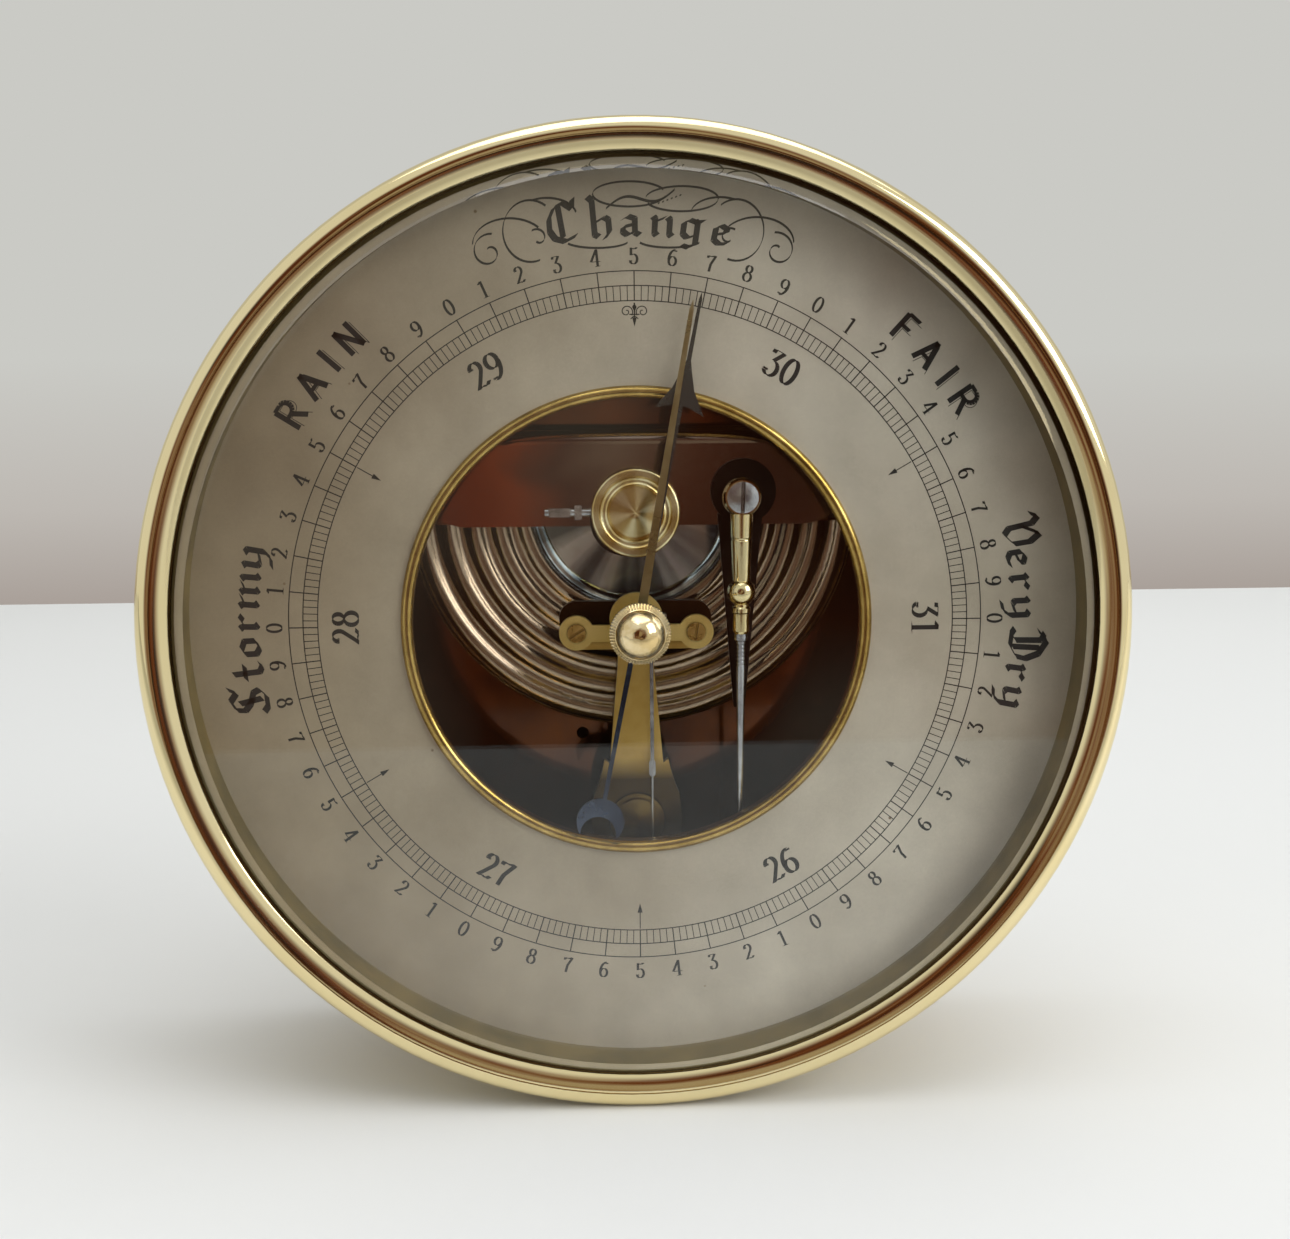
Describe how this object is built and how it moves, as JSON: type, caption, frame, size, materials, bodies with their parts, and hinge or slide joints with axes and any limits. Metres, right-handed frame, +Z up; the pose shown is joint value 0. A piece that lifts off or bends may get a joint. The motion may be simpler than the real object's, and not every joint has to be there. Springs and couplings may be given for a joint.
{
  "type": "desk barometer",
  "caption": "Round drum-cased aneroid desk barometer with a bevelled glass, a ring dial open over its corrugated capsule, lever and chain movement, and a set hand with a domed knob.",
  "frame": {"origin": "on the floor plane under the middle of the object, halfway between the back and the tip of the set knob", "axes": "+X to the right as seen by someone who reads the dial, +Y from the dial towards the case back, +Z up"},
  "size_m": [0.143, 0.0544, 0.143],
  "materials": {
    "polished_brass": "polished and lacquered",
    "case_brass": "polished and lacquered, duller",
    "movement_brass": "grained and lacquered",
    "dark_brass": "polished under dark lacquer",
    "silvered_brass": "silvered, fine matt grain, engraved and filled with black wax",
    "glass": "polished, bevelled edge",
    "tinned_sheet": "tinned, bright",
    "steel": "turned and polished",
    "dark_spring_steel": "tempered, dark lacquer over a polish",
    "black_steel": "blackened, semi-gloss",
    "blued_steel": "heat blued"
  },
  "bodies": {
    "case": {"case_drum": "case_brass", "case_back": "case_brass", "back_screws": "case_brass", "case_screws": "case_brass", "movement_pillars": "movement_brass", "movement_plate": "dark_brass", "dial_posts": "movement_brass", "dial_post_screws": "steel", "dial_plate": "silvered_brass", "aperture_ring": "polished_brass", "spacer_ring": "case_brass", "glass": "glass", "glass_bush": "case_brass", "bezel": "polished_brass", "capsule_front": "tinned_sheet", "capsule_back": "tinned_sheet", "capsule_rim": "tinned_sheet", "capsule_stud": "movement_brass", "adjuster_boss": "movement_brass", "mainspring": "dark_spring_steel", "spring_bridge": "dark_brass", "bridge_posts": "movement_brass", "bridge_screws": "steel", "movement_arm": "movement_brass", "foot_screw": "movement_brass", "arm_pillar": "movement_brass", "plate_pillars": "movement_brass", "pivot_plate": "movement_brass", "pivot_plate_screws": "movement_brass", "hairspring": "blued_steel", "hairspring_stud": "steel", "rocker_cocks": "movement_brass", "cock_screws": "steel"},
    "hand": {"hand_arbor": "steel", "chain_pulley": "movement_brass", "hand_collet": "movement_brass", "indicating_hand": "blued_steel", "hairspring_collet": "movement_brass"},
    "rocker": {"rocking_shaft": "steel", "chain_arm": "movement_brass", "crank_arm": "movement_brass"},
    "lever": {"lever_strap": "black_steel", "main_lever": "polished_brass", "lever_screw": "steel", "lever_rod": "steel", "lever_link": "steel"},
    "capsule_lift": {"capsule_post": "steel", "post_collar": "black_steel", "post_button": "polished_brass", "knife_edge": "steel"},
    "chain_run": {"chain": "steel", "chain_hook": "steel"},
    "set_pointer": {"set_knob": "polished_brass", "set_spindle": "movement_brass", "set_hand": "movement_brass"},
    "adjuster": {"adjusting_screw": "steel"}
  },
  "joints": [
    {"name": "hand_turn", "type": "hinge", "parent": "case", "child": "hand", "pos_m": [0, -0.01075, 0.0715], "axis": [0, 1, 0], "range_deg": [-221.3, 78.7], "stiffness_Nm_per_rad": 0.0002, "deforming": ["hairspring"]},
    {"name": "rocker_turn", "type": "hinge", "parent": "case", "child": "rocker", "pos_m": [0.008, 0.00825, 0.0225], "axis": [1, 0, 0], "range_deg": [-41, 15]},
    {"name": "lever_rock", "type": "hinge", "parent": "case", "child": "lever", "pos_m": [0.0156, -0.00225, 0.0975], "axis": [1, 0, 0], "range_deg": [-1.6, 0.6], "deforming": ["mainspring"]},
    {"name": "capsule_rise", "type": "hinge", "parent": "case", "child": "capsule_lift", "pos_m": [0, -0.00225, 0.0975], "axis": [1, 0, 0], "range_deg": [-1.6, 0.6], "deforming": ["capsule_front"]},
    {"name": "chain_draw", "type": "slide", "parent": "case", "child": "chain_run", "axis": [0, 0, 1], "range_m": [-0.0033, 0.009], "deforming": ["chain", "chain_hook"]},
    {"name": "set_turn", "type": "hinge", "parent": "case", "child": "set_pointer", "pos_m": [0, -0.02175, 0.0715], "axis": [0, 1, 0], "continuous": true},
    {"name": "adjust_turn", "type": "hinge", "parent": "case", "child": "adjuster", "pos_m": [0, 0.01525, 0.088], "axis": [0, 1, 0], "range_deg": [-360, 360]}
  ],
  "couplings": [
    {"joint": "rocker_turn", "follows": "hand_turn", "ratio": 0.18254},
    {"joint": "lever_rock", "follows": "hand_turn", "ratio": 0.0067},
    {"joint": "capsule_rise", "follows": "hand_turn", "ratio": 0.0067},
    {"joint": "chain_draw", "follows": "hand_turn", "m_per_rad": -0.0023}
  ]
}
